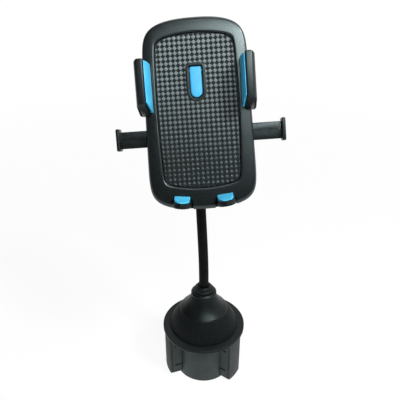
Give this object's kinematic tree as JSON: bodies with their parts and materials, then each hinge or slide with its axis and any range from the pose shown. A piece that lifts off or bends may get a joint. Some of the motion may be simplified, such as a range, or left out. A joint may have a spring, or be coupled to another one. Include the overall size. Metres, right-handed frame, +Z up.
{
  "type": "car phone mount",
  "caption": "Phone cradle with spring side arms and sliding feet on a bendable neck, standing on a twist-widening base that fills a cup holder.",
  "frame": {"origin": "centre of the flat bottom of the cup base, where the base axis meets the floor", "axes": "+Z up the base axis; -Y towards the viewer in front of the cradle; +X to that viewer's right"},
  "size_m": [0.112, 0.1165, 0.32],
  "materials": {
    "satin_black": "satin dark plastic",
    "housing_black": "satin to glossy dark plastic",
    "inner_black": "plain moulded plastic",
    "sleeve_black": "smooth soft sleeve",
    "shoe_black": "soft grip",
    "pad_grey": "moulded diamond texture",
    "rubber_blue": "soft matte",
    "button_blue": "matte",
    "steel": "plain steel",
    "nylon_white": "natural nylon"
  },
  "bodies": {
    "base": {"base_cup": "satin_black", "spindle": "inner_black", "base_screw_1": "steel", "base_screw_2": "steel", "base_screw_3": "steel", "top_disc": "satin_black", "neck_collar": "satin_black", "lower_ferrule": "steel", "neck_core_1": "steel", "neck_sleeve": "sleeve_black"},
    "knob": {"twist_knob": "satin_black", "scroll_plate": "steel"},
    "block_1": {"expander_1": "satin_black", "expander_pad_1": "shoe_black"},
    "block_2": {"expander_2": "satin_black", "expander_pad_2": "shoe_black"},
    "block_3": {"expander_3": "satin_black", "expander_pad_3": "shoe_black"},
    "neck_2": {"neck_core_2": "steel"},
    "neck_3": {"neck_core_3": "steel"},
    "neck_4": {"neck_core_4": "steel"},
    "neck_5": {"neck_core_5": "steel", "upper_ferrule": "satin_black"},
    "stud": {"ball_stud": "steel"},
    "liner": {"ball_liner": "nylon_white"},
    "cradle": {"rear_cover": "housing_black", "front_frame": "housing_black", "housing_screw_1": "steel", "housing_screw_2": "steel", "housing_screw_3": "steel", "housing_screw_4": "steel", "textured_pad": "pad_grey", "trigger_bezel": "satin_black", "trigger_pin": "steel", "pinion_axle": "steel", "trigger_spring": "steel", "closing_spring": "steel"},
    "nut": {"locking_nut": "satin_black"},
    "arm_left": {"left_arm": "satin_black", "left_arm_pad": "rubber_blue"},
    "arm_right": {"right_arm": "satin_black", "right_arm_pad": "rubber_blue"},
    "gear": {"pinion": "nylon_white"},
    "trigger": {"trigger_button": "button_blue"},
    "feet": {"foot_carrier": "satin_black", "left_foot_pad": "rubber_blue", "right_foot_pad": "rubber_blue"}
  },
  "joints": [
    {"name": "knob_twist", "type": "hinge", "parent": "base", "child": "knob", "pos_m": [0, 0, 0.05], "axis": [0, 0, 1], "range_deg": [-37.4, 127.4]},
    {"name": "block_1_slide", "type": "slide", "parent": "base", "child": "block_1", "axis": [0.7986, -0.6018, 0], "range_m": [-0.0025, 0.0085]},
    {"name": "block_2_slide", "type": "slide", "parent": "base", "child": "block_2", "axis": [-0.9455, -0.3256, 0], "range_m": [-0.0025, 0.0085]},
    {"name": "block_3_slide", "type": "slide", "parent": "base", "child": "block_3", "axis": [0.1564, 0.9877, 0], "range_m": [-0.0025, 0.0085]},
    {"name": "neck_bend_low", "type": "hinge", "parent": "base", "child": "neck_2", "pos_m": [-0.00006, 0.00031, 0.10479], "axis": [0.9999, 0.0011, 0.0143], "range_deg": [-25, 25], "deforming": ["neck_sleeve"]},
    {"name": "neck_lean_low", "type": "hinge", "parent": "neck_2", "child": "neck_3", "pos_m": [-0.00169, 0.00906, 0.14781], "axis": [0, 0.9641, -0.2655], "range_deg": [-25, 25], "deforming": ["neck_sleeve"]},
    {"name": "neck_bend_high", "type": "hinge", "parent": "neck_3", "child": "neck_4", "pos_m": [-0.00367, 0.01964, 0.19453], "axis": [0.9998, 0.0021, 0.0198], "range_deg": [-25, 25], "deforming": ["neck_sleeve"]},
    {"name": "neck_lean_high", "type": "hinge", "parent": "neck_4", "child": "neck_5", "pos_m": [-0.0038, 0.0144, 0.22736], "axis": [0, 0.8365, 0.548], "range_deg": [-25, 25], "deforming": ["neck_sleeve"]},
    {"name": "ball_swivel", "type": "hinge", "parent": "neck_5", "child": "stud", "pos_m": [-0.0038, -0.00404, 0.2438], "axis": [0, -0.8192, 0.5736], "range_deg": [-45, 45]},
    {"name": "ball_tilt", "type": "hinge", "parent": "stud", "child": "liner", "pos_m": [-0.0038, -0.0196, 0.2547], "axis": [0.9968, -0.0208, 0.0776], "range_deg": [-44, 18]},
    {"name": "cradle_spin", "type": "hinge", "parent": "liner", "child": "cradle", "pos_m": [-0.0038, -0.0196, 0.2547], "axis": [0.0485, 0.9259, -0.3746], "continuous": true},
    {"name": "nut_turn", "type": "hinge", "parent": "cradle", "child": "nut", "pos_m": [-0.0038, -0.0196, 0.2547], "axis": [0.0485, 0.9259, -0.3746], "range_deg": [-40, 40]},
    {"name": "left_arm_slide", "type": "slide", "parent": "cradle", "child": "arm_left", "axis": [-0.9968, 0.0208, -0.0776], "range_m": [0, 0.018], "stiffness_N_per_m": 60, "springref_m": -0.008, "deforming": ["closing_spring"]},
    {"name": "right_arm_slide", "type": "slide", "parent": "cradle", "child": "arm_right", "axis": [0.9968, -0.0208, 0.0776], "range_m": [0, 0.018]},
    {"name": "pinion_turn", "type": "hinge", "parent": "cradle", "child": "gear", "pos_m": [-0.0044, -0.03666, 0.25783], "axis": [0.0485, 0.9259, -0.3746], "range_deg": [0, 229.18]},
    {"name": "trigger_press", "type": "hinge", "parent": "cradle", "child": "trigger", "pos_m": [-0.00664, -0.02917, 0.28861], "axis": [0.9968, -0.0208, 0.0776], "range_deg": [0, 6], "stiffness_Nm_per_rad": 0.05, "springref_deg": -1.72, "deforming": ["trigger_spring"]},
    {"name": "feet_slide", "type": "slide", "parent": "cradle", "child": "feet", "axis": [0.064, -0.3772, -0.9239], "range_m": [0, 0.018]}
  ],
  "couplings": [
    {"joint": "block_1_slide", "follows": "knob_twist", "m_per_rad": 0.00382},
    {"joint": "block_2_slide", "follows": "knob_twist", "m_per_rad": 0.00382},
    {"joint": "block_3_slide", "follows": "knob_twist", "m_per_rad": 0.00382},
    {"joint": "right_arm_slide", "follows": "left_arm_slide", "ratio": 1},
    {"joint": "pinion_turn", "follows": "left_arm_slide", "rad_per_m": 222.22}
  ]
}
